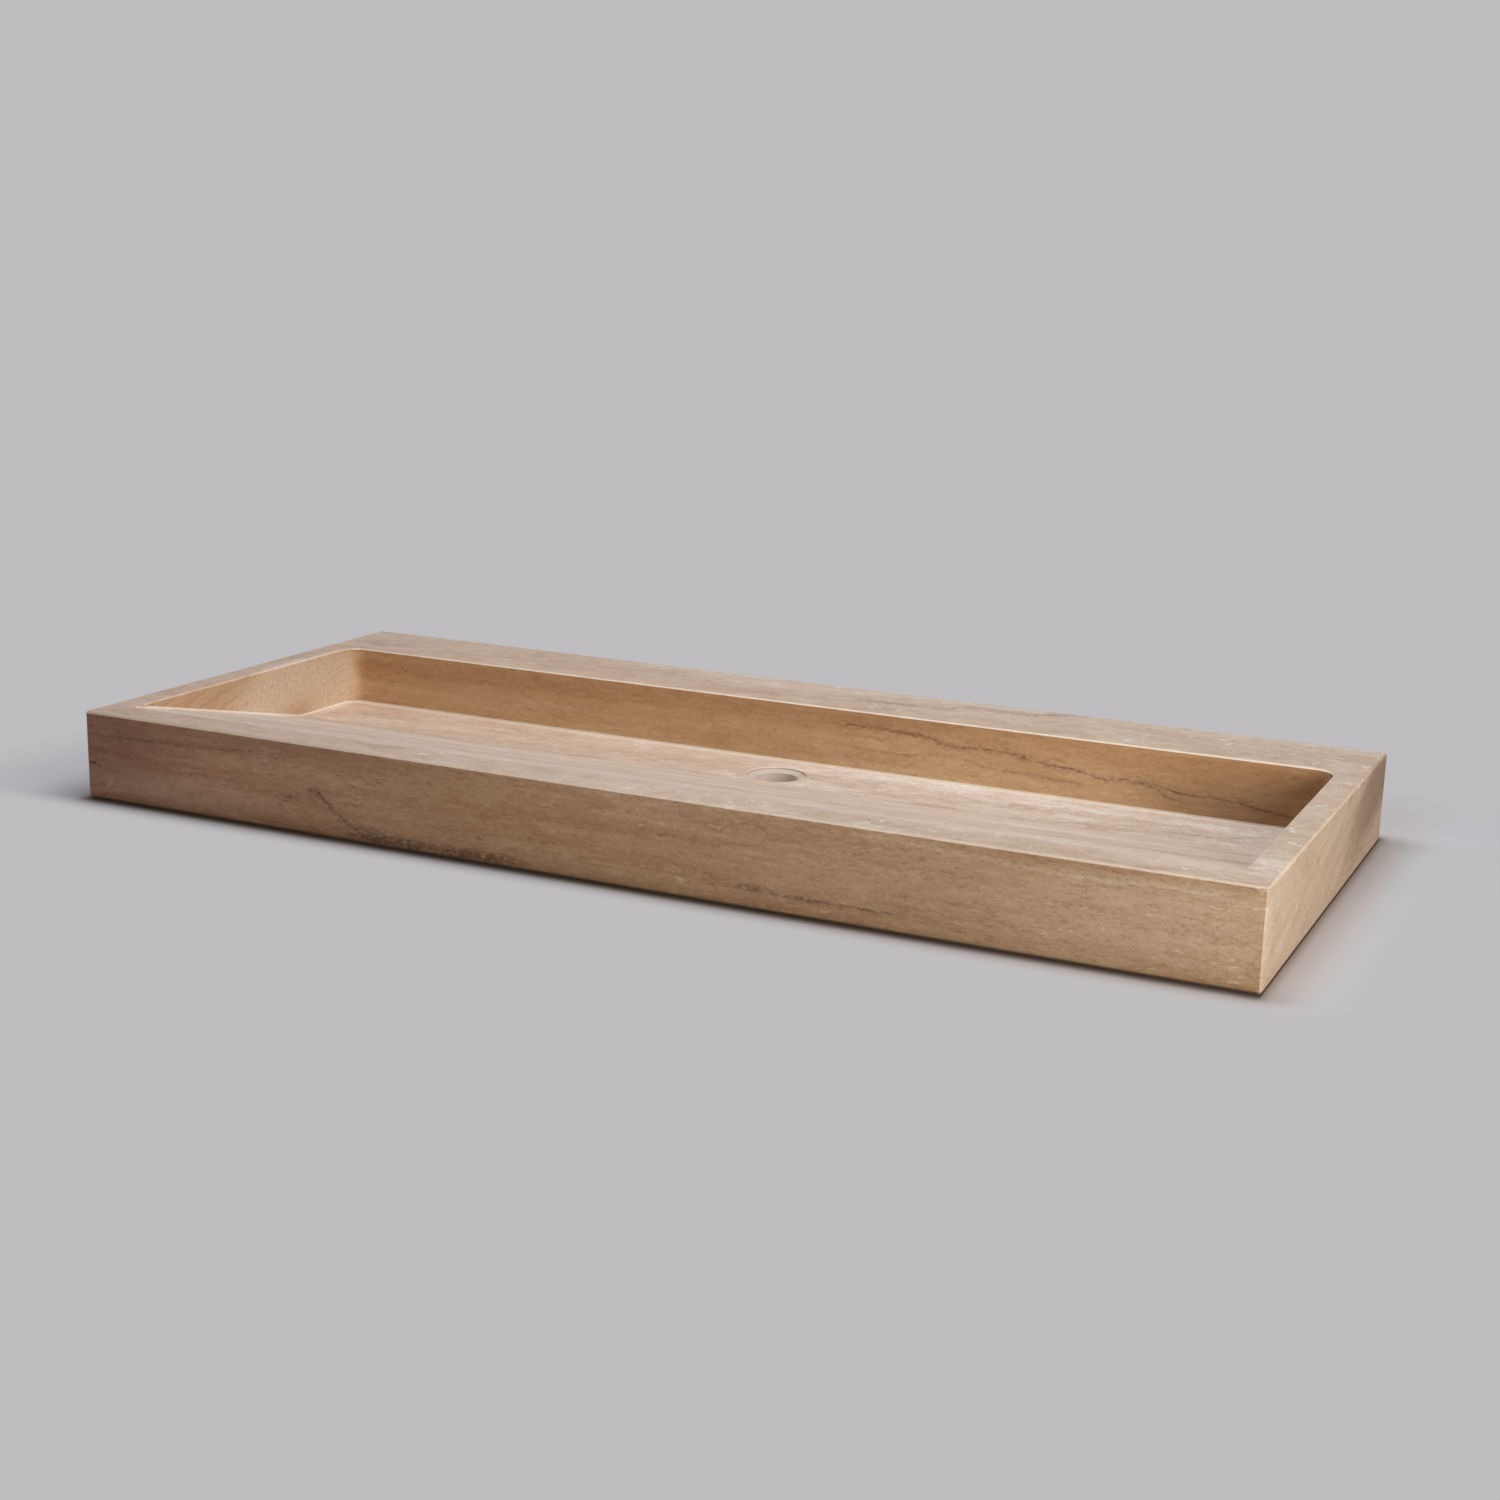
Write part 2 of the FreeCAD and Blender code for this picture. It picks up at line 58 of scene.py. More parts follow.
PALE_GREY = (0.515, 0.505, 0.52, 1.0)
SKY_LIGHT = 0.05
UNDER_LIGHT = 0.5
BELOW_HORIZON = (0.0, -0.1)
KEY_PLACE = (1.6, -0.75, 0.55)
KEY_AIM = (0.3, -0.15, 0.05)
KEY_SIZE = (0.6, 0.6)
KEY_POWER = 16.4
KEY_COLOUR = (0.97, 0.99, 0.99)
TOP_PLACE = (0.0, 0.1, 1.5)
TOP_AIM = (0.0, 0.05, 0.05)
TOP_SIZE = (1.6, 0.6)
TOP_POWER = 23.5
TOP_COLOUR = (0.95, 1.0, 1.09)

# Floor: it laps under the block's edge, is open under the rest, and keeps a disc under the drain

FLOOR_HALF_SIZE = 30.0
FLOOR_HEIGHT = -0.0002
FLOOR_LAP = 0.004
FLOOR_DISC = 0.027
FLOOR_MOTTLE = (3.0, 3.0)
FLOOR_STOPS = [(0.3, (0.55, 0.527, 0.525, 1.0)), (0.7, (0.57, 0.547, 0.545, 1.0))]
FLOOR_ROUGHNESS = 0.6

# Floor: fade into the surroundings, which comes sooner in front and on the right

FLOOR_FADE = (0.03, 0.24)
FRONT_FADE = 5.0
FRONT_SIDE = (0.0, -0.1)
RIGHT_FADE = 3.0
RIGHT_SIDE = (0.0, 0.1)
RIGHT_FADE_DEPTH = (0.34, 0.20)

# Floor: painted contact shadow, a dark line where the block stands, and painted warm light beside its right
# end

CONTACT_SHADOW_REACH = (0.0, 0.018)
PAINTED_CONTACT_SHADOW = (0.10, 0.074, 0.056, 1.0)
SIDE_SHADOW_REACH = (0.0, 0.010)
SIDE_START = (0.0, 0.001)
PAINTED_SIDE_SHADOW = (0.34, 0.27, 0.225, 1.0)
WARM_REACH = (0.07, 0.0)
WARM_SIDE = (0.0, HALF_LENGTH)
PAINTED_WARM_LIGHT = (0.53, 0.478, 0.45, 1.0)

# Stone: beds lie along the block's length and rise towards its back

BED_RISE = math.radians(17)
PALE_STONE = (0.72, 0.50, 0.325, 1.0)
SAND_STONE = (0.61, 0.395, 0.232, 1.0)
TAN_STONE = (0.53, 0.315, 0.172, 1.0)
BROWN_STONE = (0.41, 0.222, 0.113, 1.0)
FLECK_STONE = (0.80, 0.63, 0.46, 1.0)
# pale edges: partly paler worn stone, partly painted highlight; the bottom edge's colour is painted light
PALE_EDGE_AND_HIGHLIGHT = (0.87, 0.76, 0.63, 1.0)
PAINTED_FOOT_EDGE_LIGHT = (0.86, 0.66, 0.47, 1.0)
WALL_STONE = (0.57, 0.355, 0.202, 1.0)
SEAM_STONE = (0.225, 0.115, 0.06, 1.0)
DEEP_SEAM_STONE = (0.125, 0.072, 0.047, 1.0)
SOOT_STONE = (0.12, 0.068, 0.045, 1.0)
RUST_STONE = (0.22, 0.108, 0.058, 1.0)

# Stone: painted light and shade, as tints that multiply its colour on a face or in a place, standing in for
# how light falls there

FRONT_SHADE_TINT = (1.04, 0.93, 0.83, 1.0)
FRONT_RIGHT_LIGHT_TINT = (1.05, 1.025, 0.97, 1.0)
ROSE_SHADE_TINT = (0.97, 0.88, 0.90, 1.0)
RIGHT_END_SHEEN_TINT = (0.94, 1.07, 1.28, 1.0)
RIM_SHEEN_TINT = (0.87, 0.945, 1.15, 1.0)
RIGHT_RIM_SHEEN_TINT = (0.90, 1.05, 1.29, 1.0)
BACK_WALL_SHADE_TINT = (1.02, 0.97, 0.86, 1.0)
LOW_WALL_TINT = (1.08, 1.09, 1.03, 1.0)
BOWL_SHEEN_TINT = (1.02, 1.24, 1.63, 1.0)
STRIP_LIGHT_TINT = (1.03, 1.06, 1.08, 1.0)
LEFT_STRIP_SHADE_TINT = (0.95, 0.86, 0.77, 1.0)
RAMP_SHADE_TINT = (0.90, 0.86, 0.84, 1.0)
FOOT_SHADE_TINT = (0.90, 0.82, 0.75, 1.0)
PAINTED_SHADE_TINT = (0.60, 0.54, 0.50, 1.0)
SOFT_SHADE_TINT = (0.86, 0.83, 0.81, 1.0)
PAINTED_LIGHT_TINT = (1.09, 1.11, 1.16, 1.0)

# Stone: faces, picked by place and by the direction that they look in

BOWL_TOP = (RIM_HEIGHT, RIM_HEIGHT - 0.001)
BOWL_BOTTOM = (0.008, 0.010)
BOWL_HALF_LENGTH = (0.585, 0.580)
BOWL_HALF_DEPTH = (0.25, 0.24)
SEAT_RADIUS = (0.036, 0.033)
FACING_UP = (0.80, 0.96)
FACING_FRONT = (-0.5, -0.9)
FACING_RIGHT = (0.5, 0.9)
LEFT_WALL_PLACE = (-0.55, -0.57)
LEFT_WALL_FRONT = (0.08, -0.10)

# Stone: where the painted light and shade tints of the faces change

FRONT_RIGHT = (0.10, 0.50)
FRONT_LEFT = (-0.15, -0.60)
LOW_WALL = (0.072, 0.050)
RIM_RIGHT = (-0.6, 0.5)
STRIP_LEFT = (0.25, -0.50)
STRIP_DEPTH = (0.02, 0.09)
UPPER_RAMP_DEPTH = (0.0, -0.13)
UPPER_RAMP_START = (-0.54, -0.42)
UPPER_RAMP_RIGHT = (-0.05, 0.30)
UPPER_RAMP_RIGHT_LOSS = 0.5
FOOT_SHADE_HEIGHT = (0.011, 0.0)
FOOT_SHADE_SLOPE = (0.95, 0.85)
PAINTED_LEFT_SHADE_STRENGTH = 0.75

# Stone: pale lines along the eased edges, partly paler worn stone and partly painted highlight, weaker on
# the left wall's top and on the right end; painted light on the bottom edge, and a painted highlight along
# the foot of the back wall

FOOT_ARRIS_HEIGHT = (0.0026, 0.0014)
FOOT_ARRIS_SLOPE = (0.97, 0.90)
FOOT_EDGE_LIGHT_STRENGTH = 0.85
ARRIS_SLOPE_START = (0.20, 0.40)
ARRIS_SLOPE_END = (0.93, 0.80)
ARRIS_HEIGHT = (0.003, 0.005)
CORNER_PLACE = (CORNER_SUM - 0.003, CORNER_SUM - 0.001)
CORNER_TURN = (0.2, 0.4)
LEFT_ARRIS_PLACE = (-0.54, -0.56)
LEFT_ARRIS_HEIGHT = (0.085, 0.088)
LEFT_ARRIS_TURN = (0.3, 0.6)
LEFT_ARRIS_LOSS = 0.8
RIGHT_ARRIS_PLACE = (0.594, 0.597)
RIGHT_ARRIS_TURN = (0.15, 0.35)
RIGHT_ARRIS_LOSS = 0.6
ARRIS_STRENGTH = 0.45
ARRIS_GAIN_IN_BOWL = 0.15
WALL_FOOT_DEPTH = (0.146, 0.151)
WALL_FOOT_HIGHLIGHT_STRENGTH = 0.5

# Stone: how its beds wave, as height, then the noise's scale, detail and roughness

BED_WAVES = [(0.016, (3.5, 1.0, 0.5)), (0.008, (30.0, 2.0, 0.5)), (0.008, (95.0, 3.0, 0.6))]

# Stone: layers of figure, as scales along, up and across the beds, then detail and roughness

BROAD = ((1.8, 4.0, 40.0), 2.0, 0.5)
LAMINAE = ((7.0, 14.0, 150.0), 3.0, 0.6)
STREAKS = ((48.0, 70.0, 300.0), 3.0, 0.6)
CLOUDS = ((26.0, 34.0, 75.0), 3.0, 0.6)
FIBRES = ((150.0, 200.0, 520.0), 2.0, 0.6)
BLOTCHES = ((170.0, 170.0, 330.0), 3.0, 0.6)
CONTOURS = ((14.0, 16.0, 60.0), 2.0, 0.5)
DASHES = ((70.0, 85.0, 330.0), 2.0, 0.5)
WALL_STREAKS = ((9.0, 14.0, 215.0), 3.0, 0.6)

# Stone: plain noise, as scale, detail and roughness

GRAIN = (420.0, 3.0, 0.75)
PATCHES = (16.0, 2.0, 0.5)
FLECK_ZONES = (11.0, 2.0, 0.5)
SWELL = (45.0, 3.0, 0.65)
TWIST = (80.0, 3.0, 0.65)
GAPS = (28.0, 2.0, 0.5)
BREAKS = (150.0, 2.0, 0.5)

# Stone: how the layers make its colour

TONE_WEIGHTS = (0.18, 0.17, 0.17, 0.13, 0.16, 0.19)
TONE_STOPS = [(0.40, BROWN_STONE), (0.465, TAN_STONE), (0.53, SAND_STONE), (0.60, PALE_STONE)]
FRONT_LIFT = 0.012
TOP_CALM = 0.6
RIM_QUIET = 0.32
BOWL_QUIET = 0.28
HAIRLINE_COUNT = 6.0
HAIRLINE_FOLD = 0.5
HAIRLINE_WIDTH = (0.085, 0.0)
HAIRLINE_STRENGTH = 0.55
PATCH_EDGE = (0.42, 0.60)
FLECK_EDGE = (0.62, 0.69)
FLECK_ZONE_EDGE = (0.44, 0.62)
FLECK_ZONE_LEAN = 0.16
FLECK_STRENGTH = 0.7
FLECK_LOSS_IN_BOWL = 0.45
RUST_DASH_EDGE = (0.37, 0.30)
RUST_DASH_STRENGTH = 0.34
BACK_WALL_SMOOTH = 0.30
LEFT_WALL_SMOOTH = 0.58
RIGHT_END_SMOOTH = 0.35
WALL_STREAK_EDGE = (0.45, 0.62)
WALL_STREAK_STRENGTH = 0.26

# Stone: how its surface shines

POLISH_ROUGHNESS = 0.36
FIBRE_ROUGHNESS = 0.12
BOWL_ROUGHNESS = 0.20
RIGHT_END_ROUGHNESS = 0.42
STONE_SPECULAR = 0.4
STONE_BUMP = 0.00002

# Seams: points of the line that each one draws on a face, in millimetres

BACK_SEAM_LEFT = [(48, 156, 74), (86, 156, 74), (147, 156, 72), (181, 156, 65), (214, 156, 66.5),
                  (247, 156, 64.5), (280, 156, 59)]
BACK_SEAM_RIGHT = [(247, 156, 64.5), (280, 156, 59), (313, 156, 57), (345, 156, 52), (369, 156, 54),
                   (396, 156, 52), (428, 156, 47), (458, 156, 47), (485, 156, 44.5), (521, 156, 39),
                   (560, 156, 36)]
BACK_BRANCH = [(345, 156, 52), (369, 156, 53), (396, 156, 48.5), (407, 156, 42), (424, 156, 38.5)]
BACK_HAIRLINE = [(60, 156, 52), (120, 156, 49), (170, 156, 53), (230, 156, 47), (290, 156, 45),
                 (330, 156, 38)]
FRONT_SEAM = [(-322, -260, 44), (-309, -260, 38.6), (-294, -260, 26.7), (-275, -260, 14.6),
              (-242, -260, 10.2), (-197, -260, 3.1)]
FRONT_LINE = [(-585, -260, 66), (-569, -260, 66.7), (-517, -260, 69), (-467, -260, 70.2), (-400, -260, 74)]
FRONT_PALE_LINE = [(255, -260, 84), (300, -260, 82), (377, -260, 77.6), (407, -260, 76.2), (463, -260, 75.3),
                   (504, -260, 77.5), (585, -260, 75.2)]
FRONT_BAND = [(100, -260, 31), (200, -260, 35), (360, -260, 41), (480, -260, 36), (600, -260, 27)]

# Seams: points, thickness, reach into the stone, wander, strength of the line and of its stain, colour

SEAMS = [
    (BACK_SEAM_LEFT, 1.5 * MM, 0.16, 0.8, 0.9, 0.5, SEAM_STONE),
    (BACK_SEAM_RIGHT, 1.2 * MM, 0.16, 0.5, 0.95, 0.3, DEEP_SEAM_STONE),
    (BACK_BRANCH, 1.1 * MM, 0.03, 0.5, 0.8, 0.25, DEEP_SEAM_STONE),
    (BACK_HAIRLINE, 0.9 * MM, 0.03, 1.0, 0.5, 0.25, RUST_STONE),
    (FRONT_SEAM, 2.0 * MM, 0.03, 1.0, 0.85, 0.5, SOOT_STONE),
    (FRONT_LINE, 1.0 * MM, 0.02, 1.0, 0.6, 0.4, SEAM_STONE),
    (FRONT_PALE_LINE, 1.2 * MM, 0.018, 1.0, 0.6, 0.5, FLECK_STONE),
    (FRONT_BAND, 4.0 * MM, 0.03, 1.0, 0.4, 0.2, PALE_STONE),
]

# Seams: what they have in common, with widths as shares of the thickness

SEAM_FADE = 0.02
SEAM_FULL_REACH = 0.6
SEAM_SWELL = 0.005
SEAM_TWIST = 0.009
SEAM_FRAY = 0.002
SEAM_WIDTH = 0.9
SEAM_WIDTH_SWELL = 4.0
SEAM_FULL_WIDTH = -0.3
STRAND_SWING = 10.0
STRAND_WIDTH = 0.8
STRAND_STRENGTH = 0.6
STAIN_WIDTH = 5.0
STAIN_EDGE = (0.42, 0.60)
GAP_EDGE = (0.36, 0.52)
BREAK_EDGE = (0.42, 0.54)
BREAK_LEAST = 0.45
BREAK_GAIN = 0.55

# Marks: middle of each, and how far it reaches along, up and across the beds, in millimetres

RIGHT_MARKS = [((600, 69, 84), (8, 16, 2.4)), ((600, 178, 40), (8, 20, 2.6)),
               ((600, 157, 16), (8, 11, 1.6)), ((600, -60, 62), (8, 18, 1.6))]
FRONT_SPECKS = [((-350, -260, 33), (16, 30, 5)), ((-318, -260, 42), (12, 30, 7)),
                ((-590, -260, 36), (10, 30, 4))]
FRONT_PITS = [((150, -260, 19), (30, 20, 4.0)), ((200, -260, 17), (46, 20, 2.8)),
              ((265, -260, 17), (40, 20, 2.0)), ((-208, -260, 8), (40, 20, 5))]
FOOT_RUST = [((-140, -260, 7), (80, 40, 7)), ((-250, -260, 6), (40, 40, 5))]
RIM_STAIN = [((-545, 200, 90), (40, 60, 9)), ((60, 212, 90), (60, 30, 3))]
# painted highlight: pale patches on the middle and back of the bowl's left wall
PAINTED_LEFT_WALL_LIGHT = [((-571, 20, 66), (20, 130, 46)), ((-571, 120, 48), (20, 70, 50))]
# a pale patch in the stone low on the front's left, and painted light on the front's right part
FRONT_PALE_PATCH_AND_LIGHT = [((-470, -260, 22), (130, 40, 20)), ((510, -260, 48), (170, 40, 50))]
STRIP_PATCHES = [((90, 135, 26), (90, 40, 8)), ((330, 125, 26), (120, 45, 9)), ((480, 130, 26), (90, 40, 8))]
MARK_TWIST = 0.004

# Marks: strength, colour, and where the blotches break them up

MARKS = [
    (RIGHT_MARKS, 0.48, RUST_STONE, (0.30, 0.50)),
    (FRONT_SPECKS, 0.85, SOOT_STONE, (0.44, 0.58)),
    (FRONT_PITS, 0.62, SOOT_STONE, (0.36, 0.60)),
    (FOOT_RUST, 0.85, RUST_STONE, (0.38, 0.54)),
    (RIM_STAIN, 0.35, SEAM_STONE, (0.40, 0.62)),
    # painted highlight on the bowl's left wall
    (PAINTED_LEFT_WALL_LIGHT, 0.62, FLECK_STONE, (0.20, 0.60)),
    # a pale patch in the stone and painted light on the front
    (FRONT_PALE_PATCH_AND_LIGHT, 0.35, FLECK_STONE, (0.25, 0.60)),
    (STRIP_PATCHES, 0.22, FLECK_STONE, (0.40, 0.58)),
]

# Painted shade and light: darker patches at the right end of the bowl's back wall and on the front's left
# part, a painted dark reflection on the back of the right end, and a paler patch of painted light high on
# the front's middle; each has a middle and reaches like a mark's

PAINTED_BOWL_SHADE = ((590, 156, 38), (265, 40, 78))
PAINTED_RIGHT_END_REFLECTION = ((600, 235, 74), (20, 200, 50))
PAINTED_LEFT_SHADE = ((-595, -260, 62), (160, 40, 60))
SOFT_PAINTED_SHADE = ((-350, -260, 84), (200, 40, 22))
PAINTED_LIGHT_PATCH = ((70, -260, 84), (330, 40, 30))

# Outlet set: noise as scale and detail, colours as the ends of a ramp

COAT_CLOUD = (60.0, 3.0)
COAT_PEEL = (900.0, 2.0)
COAT_FLANGE_STOPS = [(0.3, (0.52, 0.42, 0.33, 1.0)), (0.7, (0.58, 0.48, 0.385, 1.0))]
COAT_THROAT_STOPS = [(0.3, (0.68, 0.55, 0.45, 1.0)), (0.7, (0.74, 0.60, 0.50, 1.0))]
COAT_FLANGE_FACING = (0.1, 0.6)
COAT_ROUGHNESS = 0.32
COAT_CLOUD_ROUGHNESS = 0.12
COAT_BUMP = 0.00003
RUBBER_BLOOM = (140.0, 4.0)
RUBBER_SKIN = (1500.0, 2.0)
RUBBER_RAMP = (0.35, 0.7)
RUBBER_ROUGHNESS = 0.7
RUBBER_BLOOM_ROUGHNESS = 0.2
RUBBER_BUMP = 0.00005
PALE_RUBBER = ((0.25, 0.22, 0.19, 1.0), (0.35, 0.32, 0.28, 1.0))
BLACK_RUBBER = ((0.012, 0.012, 0.012, 1.0), (0.035, 0.034, 0.033, 1.0))
METAL_RING_SCALE = 2500.0
METAL_RING_DETAIL = 2.0
METAL_RING_WEIGHT = 0.6
METAL_STAIN = (90.0, 3.0)
METAL_STAIN_WEIGHT = 0.4
METAL_STAIN_ROUGHNESS = 0.15
METAL_RAMP = (0.35, 0.65)
METAL_BUMP = 0.00002
STEEL = ((0.46, 0.42, 0.39, 1.0), (0.60, 0.56, 0.52, 1.0))
STEEL_ROUGHNESS = 0.62
BRASS = ((0.58, 0.40, 0.16, 1.0), (0.78, 0.58, 0.28, 1.0))
BRASS_ROUGHNESS = 0.28
PLASTIC_HAZE = (120.0, 3.0)
PLASTIC_STOPS = [(0.3, (0.66, 0.65, 0.61, 1.0)), (0.7, (0.76, 0.75, 0.72, 1.0))]
PLASTIC_ROUGHNESS = 0.45
PLASTIC_HAZE_ROUGHNESS = 0.2


class Signal:
    """An output of a node, which takes part in plain arithmetic."""

    def __init__(self, graph, socket):
        self.graph = graph
        self.socket = socket

    def __add__(self, other):
        return self.graph.math("ADD", self, other)

    def __sub__(self, other):
        return self.graph.math("SUBTRACT", self, other)

    def __mul__(self, other):
        return self.graph.math("MULTIPLY", self, other)

    def __rsub__(self, other):
        return self.graph.math("SUBTRACT", other, self)

    def __abs__(self):
        return self.graph.math("ABSOLUTE", self)

    __radd__ = __add__
    __rmul__ = __mul__


class Graph:
    """A node tree, with a short call for each kind of node."""

    def __init__(self, tree):
        self.tree = tree

    def feed(self, socket, value):
        if isinstance(value, Signal):
            self.tree.links.new(value.socket, socket)
        else:
            socket.default_value = value

    def node(self, kind, inputs, **settings):
        made = self.tree.nodes.new("ShaderNode" + kind)
        for setting, value in settings.items():
            setattr(made, setting, value)
        for key, value in inputs.items():
            self.feed(made.inputs[key], value)
        return made

    def signal(self, kind, output, inputs, **settings):
        """One output of a new node."""
        return Signal(self, self.node(kind, inputs, **settings).outputs[output])

    def math(self, operation, *values):
        return self.signal("Math", "Value", dict(enumerate(values)), operation=operation)

    def split(self, vector):
        made = self.node("SeparateXYZ", {"Vector": vector})
        return [Signal(self, socket) for socket in made.outputs]

    def join(self, x, y, z):
        return self.signal("CombineXYZ", "Vector", {"X": x, "Y": y, "Z": z})

    def span(self, value, start, end, low, high):
        """Goes evenly from low at start to high at end."""
        inputs = {"Value": value, "From Min": start, "From Max": end, "To Min": low, "To Max": high}
        return self.signal("MapRange", "Result", inputs)

    def step(self, value, start, end):
        """Goes smoothly from 0 at start to 1 at end."""
        inputs = {"Value": value, "From Min": start, "From Max": end}
        return self.signal("MapRange", "Result", inputs, interpolation_type="SMOOTHSTEP")

    def seen(self):
        """1 for what is seen, itself or as a mirror image, and 0 for light that falls on other things."""
        path = self.node("LightPath", {})
        camera = Signal(self, path.outputs["Is Camera Ray"])
        return self.math("MAXIMUM", camera, Signal(self, path.outputs["Is Glossy Ray"]))


class Surface(Graph):
    """The node tree of a new material."""

    def __init__(self, name):
        self.material = bpy.data.materials.new(name)
        self.material.use_nodes = True
        super().__init__(self.material.node_tree)
        self.shader = self.tree.nodes["Principled BSDF"]

    def place(self):
        return self.signal("TexCoord", "Object", {})

    def normal(self):
        return self.signal("NewGeometry", "Normal", {})

    def turned(self, vector, about_x):
        return self.signal("Mapping", "Vector", {"Vector": vector, "Rotation": (about_x, 0.0, 0.0)})

    def distance_from_drain(self, x, y):
        low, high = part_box("waste_body")
        axis = (Vector(low) + Vector(high)) / 2
        return self.math("SQRT", (x - axis.x) * (x - axis.x) + (y - axis.y) * (y - axis.y))

    def noise(self, vector, scale, detail, roughness=0.5):
        inputs = {"Vector": vector, "Scale": scale, "Detail": detail, "Roughness": roughness}
        return self.signal("TexNoise", "Fac", inputs)

    def mix(self, share, first, second, blend="MIX"):
        made = self.node("Mix", {"Factor": share}, data_type="RGBA", blend_type=blend)
        sockets = [socket for socket in made.inputs if socket.type == "RGBA"]
        self.feed(sockets[0], first)
        self.feed(sockets[1], second)
        return Signal(self, next(socket for socket in made.outputs if socket.type == "RGBA"))

    def blend(self, share, first, second):
        """One shader fading into another."""
        return self.signal("MixShader", "Shader", {"Fac": share, 1: first, 2: second})

    def ramp(self, share, stops):
        made = self.node("ValToRGB", {"Fac": share})
        elements = made.color_ramp.elements
        while len(elements) < len(stops):
            elements.new(1.0)
        for element, (position, colour) in zip(elements, stops):
            element.position = position
            element.color = colour
        return Signal(self, made.outputs["Color"])

    def curve(self, value, points):
        """A smooth line through points of (value, result)."""
        low_in, high_in = points[0][0], points[-1][0]
        low_out = min(result for _, result in points)
        high_out = max(result for _, result in points)
        width, height = high_in - low_in, high_out - low_out
        made = self.node("FloatCurve", {"Value": (value - low_in) * (1.0 / width)})
        line = made.mapping.curves[0].points
        while len(line) < len(points):
            line.new(0.5, 0.5)
        for spot, (at, result) in zip(line, points):
            spot.location = ((at - low_in) / width, (result - low_out) / height)
        made.mapping.update()
        return Signal(self, made.outputs["Value"]) * height + low_out

    def paint(self, colour, roughness, height=None):
        """Hands colour, roughness and a height in metres to the shader."""
        self.feed(self.shader.inputs["Base Color"], colour)
        self.feed(self.shader.inputs["Roughness"], roughness)
        if height is not None:
            bump = self.signal("Bump", "Normal", {"Height": height, "Distance": 1.0, "Strength": 1.0})
            self.feed(self.shader.inputs["Normal"], bump)


def bed_coordinates(x, y, z):
    """A point in millimetres, as metres along the beds, up their rise and across them."""
    run = y * math.cos(BED_RISE) + z * math.sin(BED_RISE)
    across = z * math.cos(BED_RISE) - y * math.sin(BED_RISE)
    return x * MM, run * MM, across * MM


